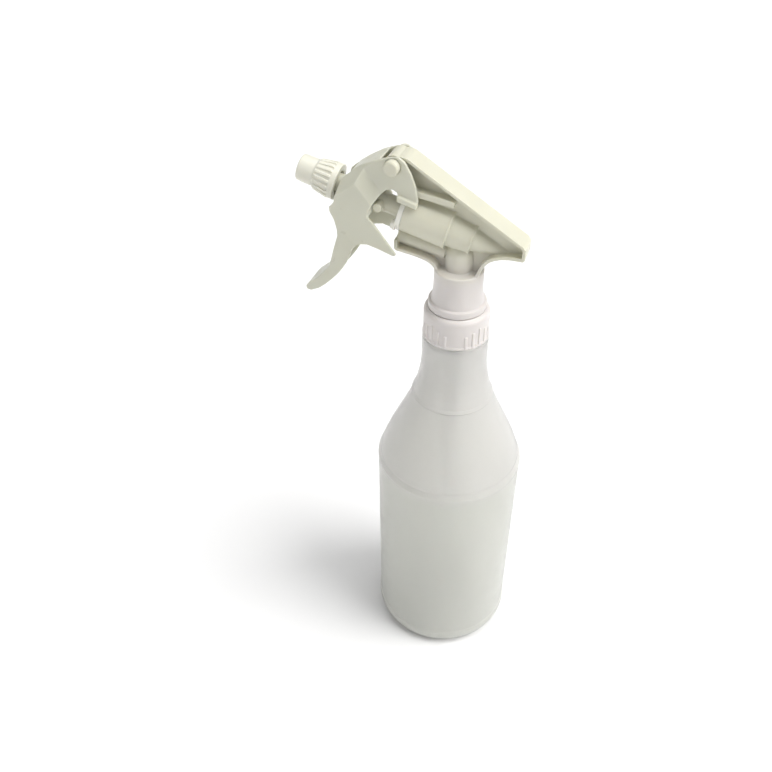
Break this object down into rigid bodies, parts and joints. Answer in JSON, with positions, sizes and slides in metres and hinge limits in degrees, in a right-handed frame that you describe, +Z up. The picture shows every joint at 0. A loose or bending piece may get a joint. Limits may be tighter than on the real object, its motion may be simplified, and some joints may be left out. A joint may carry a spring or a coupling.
{
  "type": "spray bottle",
  "caption": "Round refillable bottle with a screwed-on trigger sprayer: hinged trigger, sliding pump rod with a turning nozzle, and a dip tube.",
  "frame": {"origin": "centre of the bottle's base, in the plane it stands on", "axes": "+Z up along the bottle; the nozzle points towards -X and up; XZ is the sprayer's mid-plane"},
  "size_m": [0.12, 0.08, 0.3032],
  "materials": {
    "natural_hdpe": "milky, slightly translucent, satin",
    "body_plastic": "semi-gloss moulded",
    "white_plastic": "satin moulded",
    "black_rubber": "matte",
    "spring_steel": "drawn wire",
    "tube_plastic": "milky extruded tube",
    "gasket_foam": "matte",
    "collar_plastic": "semi-gloss moulded",
    "nozzle_plastic": "semi-gloss moulded",
    "trigger_plastic": "semi-gloss moulded"
  },
  "bodies": {
    "bottle": {"bottle": "natural_hdpe"},
    "head": {"sprayer_body": "body_plastic", "rod_guide": "white_plastic", "guide_seal": "black_rubber", "return_spring": "spring_steel", "tube_adapter": "white_plastic", "ball_cage": "white_plastic", "dip_tube": "tube_plastic", "neck_gasket": "gasket_foam"},
    "collar": {"collar": "collar_plastic"},
    "rod": {"piston_rod": "body_plastic", "piston_cup": "white_plastic", "outlet_seat": "white_plastic", "outlet_spring": "spring_steel", "swirl_insert": "white_plastic", "nozzle_seal": "black_rubber"},
    "nozzle_cap": {"nozzle_cap": "nozzle_plastic"},
    "trigger": {"trigger": "trigger_plastic"},
    "intake_ball": {"intake_ball": "spring_steel"},
    "outlet_ball": {"outlet_ball": "spring_steel"}
  },
  "joints": [
    {"name": "head_lift", "type": "slide", "parent": "bottle", "child": "head", "axis": [0, 0, 1], "range_m": [0, 0.235]},
    {"name": "collar_turn", "type": "hinge", "parent": "head", "child": "collar", "pos_m": [0, 0, 0.221], "axis": [0, 0, 1], "continuous": true},
    {"name": "trigger_pivot", "type": "hinge", "parent": "head", "child": "trigger", "pos_m": [-0.0305, 0, 0.2986], "axis": [0, -1, 0], "range_deg": [0, 19], "stiffness_Nm_per_rad": 0.2, "springref_deg": -51.57},
    {"name": "rod_slide", "type": "slide", "parent": "head", "child": "rod", "axis": [0.9659, 0, -0.2588], "range_m": [0, 0.00737], "deforming": ["return_spring"]},
    {"name": "nozzle_turn", "type": "hinge", "parent": "rod", "child": "nozzle_cap", "pos_m": [-0.06761, 0, 0.28592], "axis": [0.9659, 0, -0.2588], "continuous": true},
    {"name": "intake_lift", "type": "slide", "parent": "head", "child": "intake_ball", "axis": [0, 0, 1], "range_m": [0, 0.0015]},
    {"name": "outlet_lift", "type": "slide", "parent": "rod", "child": "outlet_ball", "axis": [-0.9659, 0, 0.2588], "range_m": [0, 0.0008], "stiffness_N_per_m": 20, "springref_m": -0.002}
  ],
  "couplings": [
    {"joint": "rod_slide", "follows": "trigger_pivot", "m_per_rad": 0.02222}
  ]
}
